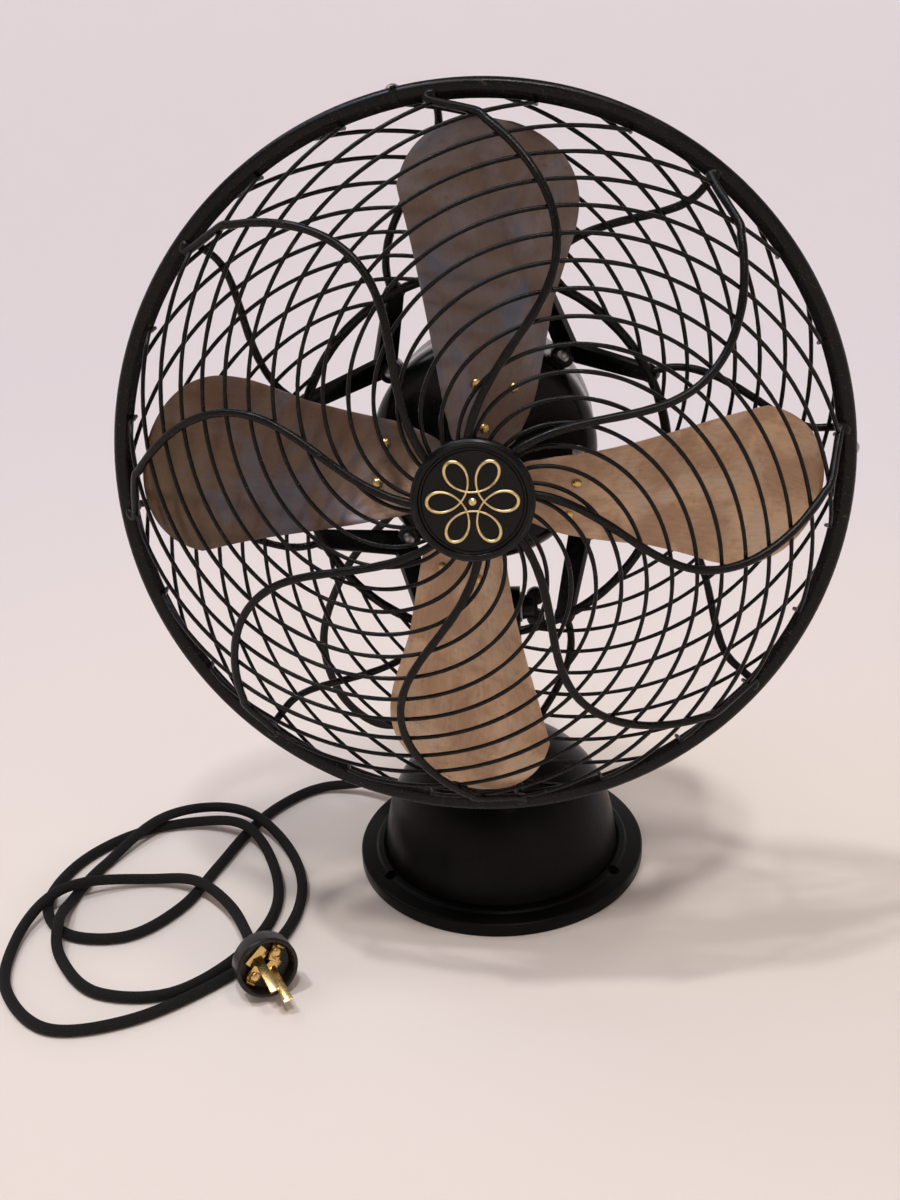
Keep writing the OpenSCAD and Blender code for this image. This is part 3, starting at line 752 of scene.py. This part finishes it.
def guard():
    hook = [polar(RIM_R - 11, GUARD_TURN + 0.7, DOME_Z + RIB_R + 1.4),
            polar(RIM_R - 7, GUARD_TURN, DOME_Z + RIB_R - 0.4),
            polar(RIM_R - 5.6, GUARD_TURN - 0.3, DOME_Z + RIB_R - 0.5)]
    rib = smooth([front_rib(i / 45) for i in range(42)] + hook, 1.5)[0]
    piece("guard_front_ribs", bars(turned(rib, RIBS), RIB_R, 12, swell=rib_end),
          "black_guard", "head", ["front_ribs"], HEAD, 60)
    wire = [front_wire(i / 90) for i in range(91)]
    wire += [polar(WIRE_END, GUARD_TURN - 165 - k * 0.25, DOME_Z + 3 - k * 4) for k in (1, 2)]
    piece("guard_front_wires", bars(turned(wire, WIRES), WIRE_R, 8, swell=lumpy(0.08)),
          "black_guard", "head", ["front_wires"], HEAD, 60)
    rib = [back_rib(i / 40) for i in range(41)]
    piece("guard_back_ribs", bars(turned(rib, RIBS), RIB_R, 10, swell=lumpy(0.06)),
          "black_guard", "head", ["back_ribs"], HEAD, 60)
    wire = [back_wire(i / 60) for i in range(61)]
    piece("guard_back_wires", bars(turned(wire, WIRES), WIRE_R, 8, swell=lumpy(0.08)),
          "black_guard", "head", ["back_wires"], HEAD, 60)
    circle = [polar(RING_R, i * 2, RING_Z) for i in range(180)]
    piece("guard_back_ring", bars([circle], 3, 12, closed=True, swell=lumpy(0.04)),
          "black_guard", "head", ["back_ring"], HEAD, 60)


SEAM_AT = 101


def rim():
    """A rolled channel: an outer wall, and a front face that the ribs' ends lie on."""
    low, high = RIM_LOW.z, RIM_HIGH.z
    outline = rounded([
        (RIM_IN, low, 0.7), (RIM_R, low, 1), (RIM_R, high, 4.2), (RIM_R - 8, high + 0.1, 6),
        (FACE_IN, high - 2.9, 1), (FACE_IN, high - 5.2, 0.6), (RIM_R - 7.6, high - 2.3, 5),
        (RIM_IN, high - 2.3, 2.4)], 8)
    band = spun(outline, 240)
    seam = Matrix.Rotation(math.radians(SEAM_AT), 4, "Z")
    lap = block((RIM_IN - 5, -9, low + 3), (RIM_IN + 0.5, 9, high - 2), seam)
    strap = block((RIM_R - 0.8, -3, low + 0.6), (RIM_R + 0.5, 0.6, high - 0.4), seam)
    tongue = block((RIM_R - 9, -2.8, high - 0.8), (RIM_R - 1.2, 1.4, high + 0.6), seam)
    piece("rim_hoop", joined(band, lap, strap, tongue), "black_guard", "head", ["rim_band"],
          HEAD)


guard()
rim()


# ---------------------------------------------------------------- badge

BADGE_LOW, BADGE_HIGH = span("badge")


def badge():
    z, r = BADGE_LOW.z, BADGE_HIGH.x
    outline = rounded([
        (0, z, 0), (r - 1.2, z, 0.6), (r, z + 1.1, 0.5), (r, z + 3.2, 0.9),
        (r - 1.6, z + 4.2, 0.5), (r - 2.2, z + 5.5, 0.6), (r - 4.2, z + 5.6, 0.7),
        (r - 5.0, z + 3.9, 0.5), (r - 6.2, z + 3.9, 0.5), (r - 6.8, z + 4.6, 0.4),
        (0, z + 4.7, 0)])
    piece("badge_disc", spun(outline, 128), "black_japan", "head", ["badge"], HEAD)


def badge_rosette():
    """Six interlaced loops in raised gilt, with a small boss at the middle."""
    z = BADGE_LOW.z + 4.6
    line = []
    for i in range(360):
        t = 2 * math.pi * i / 360
        line.append(Vector((15.6 * math.cos(t) + 10.2 * math.cos(5 * t),
                            15.6 * math.sin(t) - 10.2 * math.sin(5 * t), z + 0.2)))
    flourish = bars([line], 0.85, 10, closed=True,
                    swell=lambda u, at: 0.65 + 0.6 * at.xy.length_squared / 670)
    boss = spun(rounded([(0, z - 1, 0), (2.2, z - 1, 0), (2.2, z + 0.6, 0.5),
                         (0.8, z + 1.5, 0.5), (0, z + 1.5, 0)]), 32)
    piece("badge_rosette", joined(flourish, boss), "gilt", "head", ["badge_ornament"], HEAD,
          70)


badge()
badge_rosette()


# ---------------------------------------------------------------- blades

BLADE_TURN = -12
ROOT_R, TIP_R = 18, 203.7
ROOT_Z, TIP_Z = 142, 115
BLADE_T = 1.6
NARROWS_R = 155
# Per blade, the bright, tarnish and sheen tones of one brass. Blades 1 and 4 are painted pale
# tan as lit and blades 2 and 3 painted dark as shaded. The third tone is a painted reflection:
# tan on the lit pair, bluish on the shaded pair.
BLADE_PAINTED_LIGHT_TONES = (
    (tone(0.60, 0.41, 0.27), tone(0.43, 0.27, 0.17), tone(0.54, 0.41, 0.31)),
    (tone(0.185, 0.155, 0.16), tone(0.155, 0.1, 0.072), tone(0.12, 0.135, 0.18)),
    (tone(0.165, 0.107, 0.07), tone(0.115, 0.061, 0.036), tone(0.127, 0.12, 0.145)),
    (tone(0.60, 0.41, 0.27), tone(0.43, 0.27, 0.17), tone(0.54, 0.41, 0.31)))


def tip_round(s):
    """How far the blade keeps its width near the tip, from 1 down to 0."""
    return clamp(1 - clamp((s - NARROWS_R) / (TIP_R + 0.3 - NARROWS_R)) ** 2.4) ** 0.5


def root_round(s):
    """The same at the blade's root."""
    return clamp(1 - clamp((30 - s) / 12.5) ** 3) ** 0.5


def low_edge(s):
    straight = -25 - 5 * clamp((s - 110) / 40) + 9 * clamp((60 - s) / 40) ** 1.7
    return root_round(s) * mix(24, straight, tip_round(s))


def high_edge(s):
    straight = 24 + 51 * clamp((s - 34) / 124) ** 1.15 - 7 * clamp((44 - s) / 24) ** 1.7
    return root_round(s) * mix(24, straight, tip_round(s))


def blade_z(s, y, v):
    """Height of the blade's back: it comes forward towards the tip, is pitched and cupped."""
    pitch = mix(0.6, 0.26, clamp((s - 30) / 130))
    return mix(ROOT_Z, TIP_Z, ease((s - 55) / 95)) + (y - 8) * pitch - 4 * (1 - (2 * v - 1) ** 2)


def blade(number):
    bm = bmesh.new()
    bm.loops.layers.uv.new("UVMap")
    bmesh.ops.create_grid(bm, x_segments=64, y_segments=20, size=0.5, calc_uvs=True)
    for vert in bm.verts:
        u, v = vert.co.x + 0.5, vert.co.y + 0.5
        s = mix(ROOT_R, TIP_R, ease(u))
        y = mix(low_edge(s), high_edge(s), v)
        vert.co = (s, y, blade_z(s, y, v) + BLADE_T / 2)
    bmesh.ops.solidify(bm, geom=bm.faces[:], thickness=BLADE_T)
    bmesh.ops.recalc_face_normals(bm, faces=bm.faces)
    rim_edges = [e for e in bm.edges if len(e.link_faces) == 2
                 and e.calc_face_angle(0) > math.radians(60)]
    bmesh.ops.bevel(bm, geom=rim_edges, offset=0.5, segments=2, profile=0.5,
                    affect="EDGES", material=-1)
    turn = Matrix.Rotation(math.radians(BLADE_TURN + 90 * number), 4, "Z")
    bm.transform(turn)
    # Each blade gets its own copy of the finish, carrying its painted light and shade and its
    # painted reflection.
    bright, tarnish, painted_sheen = BLADE_PAINTED_LIGHT_TONES[number]
    tarnish_and_painted_light = metal(f"tarnished blade {number + 1}", bright, tarnish, 24, 0.8, 0.34,
                      (24, 40, 1), 0.2, 0.7, "UV", painted_sheen)
    piece(f"sheet_blade_{number + 1}", bm, "aged_brass_blade", "rotor",
          [f"blade_{number + 1}"], HEAD, 40, tarnish_and_painted_light)


for number in range(4):
    blade(number)


# ---------------------------------------------------------------- base

def base_shell():
    shell = [Vector(p) for p in ((90, 13), (86, 62), (72, 84), (28, 106))]
    line = []
    for i in range(25):
        t = i / 24
        line.append((1 - t) ** 3 * shell[0] + 3 * (1 - t) ** 2 * t * shell[1]
                    + 3 * (1 - t) * t * t * shell[2] + t ** 3 * shell[3])
    return line


def base():
    low, high = span("base_casting", WORLD)
    flange_r, top = high.x, high.z
    foot = rounded([(84, 0, 0), (flange_r, 0, 1), (flange_r, 10.6, 1.8), (98, 11.2, 1),
                    (96.5, 12.6, 1.0), (92.5, 13, 1.2), (90.4, 11.6, 0)])
    crown = rounded([(28.6, 107, 0), (28.6, top, 1.5), (12.3, top, 0.5), (12.3, 74, 0.5),
                     (20, 74, 1), (20, 98, 0)])
    inner = [(p.x - 6, p.y - (6 if p.y > 70 else 0)) for p in reversed(base_shell())]
    body = spun(foot + base_shell()[:-1] + crown + [Vector(p) for p in inner[1:]], 160)
    cutters = []
    for number in range(3):
        x, y = polar(97, 92 + 120 * number).xy
        cutters.append(drum_at((x, y, -1), (x, y, 20), 3.2))
        cutters.append(drum_at((x, y, 9.6), (x, y, 20), 4.6))
    gland = polar(1, 146)
    cutters.append(drum_at(gland * 60 + Vector((0, 0, 24)), gland * 100 + Vector((0, 0, 24)),
                           6.6))
    for swing in range(-24, 25, 4):
        lever = polar(1, 75 + swing)
        cutters.append(drum_at(lever * 60 + Vector((0, 0, 40)),
                               lever * 100 + Vector((0, 0, 40)), 3))
    piece("base_bell", carved(body, joined(*cutters)), "black_casting", "base",
          ["base_casting"])


SOFTENED_NODES = (
    ("neck", "black_casting", 0.8), ("wing_nut", "black_japan", 0.8),
    ("tilt_bolt", "steel", 0.4), ("tilt_washers", "steel", 0.3),
    ("motor_front_shell", "black_japan", 0.8), ("motor_rear_shell", "black_japan", 0.8),
    ("fan_spider", "spider_iron", 0.8), ("swivel_screw", "steel", 0.5),
    ("cord_bushing", "bakelite", 0.5), ("lever_knob", "bakelite", 0.8),
    ("rivets", "brass", 0.5),
)
for node, slot, width in SOFTENED_NODES:
    softened(node, slot, width)
for number in range(1, 5):
    softened(f"strut_{number}", "black_japan", 1.2, 1.1)
base()


# ---------------------------------------------------------------- motor lead

def motor_lead():
    route = [(-24, 6, 121), (-32, 6, 121), (-58, 9, 111), (-92, 13, 107), (-119, 20, 127),
             (-131, 26, 163), (-126, 31, 196), (-106, 37, 235), (-78, 41, 265),
             (-63, 43, 278), (-58, 43.5, 282)]
    data = bars([smooth(route, 2)[0]], 3, 12)
    made = piece("motor_lead_braid", data, "lead_cloth", None, ["motor_lead"], sharp=180)
    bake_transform(made)


motor_lead()


# ---------------------------------------------------------------- carried-over nodes

for entry in frame["record"]["subparts"]:
    data = frame["nodes"][entry["node"]].data
    data.materials.clear()
    data.materials.append(FINISHES[entry["material_slot"]])


# ---------------------------------------------------------------- floor and light

FLAT_R = 9
SWEEP_STEP, SWEEP_RISE, SWEEP_STEPS = 1.5, 0.045, 24


def floor():
    """A pale sheet in metres, flat round the fan and rising far off; its tint is painted light,
    warm near and cool far.
    """
    material = bpy.data.materials.new("pale floor")
    material.use_nodes = True
    s = Shader(material.node_tree)
    surface = material.node_tree.nodes["Principled BSDF"]
    where = s.add("ShaderNodeTexCoord").outputs["Object"]
    parts = s.add("ShaderNodeSeparateXYZ")
    s.feed(parts.inputs[0], where)
    across = s.math("MULTIPLY", parts.outputs[0], parts.outputs[0])
    away = s.math("MULTIPLY", parts.outputs[1], parts.outputs[1])
    reach = s.math("SQRT", s.math("ADD", across, away))
    depth = s.math("DIVIDE", parts.outputs[1],
                   s.math("ADD", 1, s.math("MULTIPLY", reach, 0.35)))
    # Painted light: a warm tint near the fan turns to a cool tint far off, for the warm and cool
    # light falling there.
    far = s.band(s.math("ADD", depth, s.noise(where, 0.7, 2)), 0.3, 1.5)
    s.feed(surface.inputs["Base Color"],
           s.blend(far, tone(0.86, 0.775, 0.72), tone(0.79, 0.74, 0.80)))
    surface.inputs["Roughness"].default_value = 0.65
    surface.inputs["IOR"].default_value = 1.3
    sweep = [(0, 0)] + [(FLAT_R + k * SWEEP_STEP, SWEEP_RISE * k * k)
                        for k in range(SWEEP_STEPS)]
    bm = bmesh.new()
    line = [bm.verts.new((r, 0, z)) for r, z in sweep]
    for a, b in zip(line, line[1:]):
        bm.edges.new((a, b))
    bmesh.ops.spin(bm, geom=bm.verts[:] + bm.edges[:], cent=(0, 0, 0), axis=(0, 0, 1),
                   steps=96, angle=2 * math.pi, use_merge=True)
    bmesh.ops.remove_doubles(bm, verts=bm.verts, dist=0.001)
    bmesh.ops.dissolve_degenerate(bm, edges=bm.edges, dist=0.001)
    bmesh.ops.recalc_face_normals(bm, faces=bm.faces)
    data = bpy.data.meshes.new("floor")
    bm.to_mesh(data)
    bm.free()
    data.shade_smooth()
    data.materials.append(material)
    made = bpy.data.objects.new("floor", data)
    bpy.context.scene.collection.objects.link(made)


def lamp(name, kind, at, toward, power, colour):
    """A light at a place in metres, shining along toward."""
    data = bpy.data.lights.new(name, kind)
    data.energy = power
    data.color = colour
    made = bpy.data.objects.new(name, data)
    made.location = at
    made.rotation_mode = "QUATERNION"
    made.rotation_quaternion = Vector(toward).to_track_quat("-Z", "Y")
    bpy.context.scene.collection.objects.link(made)
    return data


def sun(name, toward, spread, power, colour):
    """Light from far off along toward; a wider spread in degrees softens its shadows."""
    data = lamp(name, "SUN", Vector(toward) * -3, toward, power, colour)
    data.angle = math.radians(spread)


def light():
    """A dim warm room, four far lamps, and a blue window that gleams on the rim."""
    world = bpy.data.worlds.new("studio")
    world.use_nodes = True
    backdrop = world.node_tree.nodes["Background"]
    backdrop.inputs["Color"].default_value = tone(1.0, 0.87, 0.78)
    backdrop.inputs["Strength"].default_value = 0.22
    bpy.context.scene.world = world
    sun("left lamp", (0.27, 0.12, -1), 3, 0.72, (1.0, 0.96, 0.92))
    sun("front lamp", (-0.1, 0.42, -1), 5, 0.86, (1.0, 0.97, 0.94))
    sun("right lamp", (-0.32, 0.1, -1), 8, 0.32, (1.0, 0.95, 0.9))
    sun("room", (0.55, -0.25, -0.8), 20, 0.28, (0.9, 0.94, 1.0))
    window = lamp("window", "AREA", (-0.32, -0.3, 1.37), (0.28, 0.2, -0.93), 2.4,
                  (0.45, 0.62, 1.0))
    window.shape = "DISK"
    window.size = 0.4
    bpy.context.scene.view_settings.view_transform = "Standard"


floor()
light()
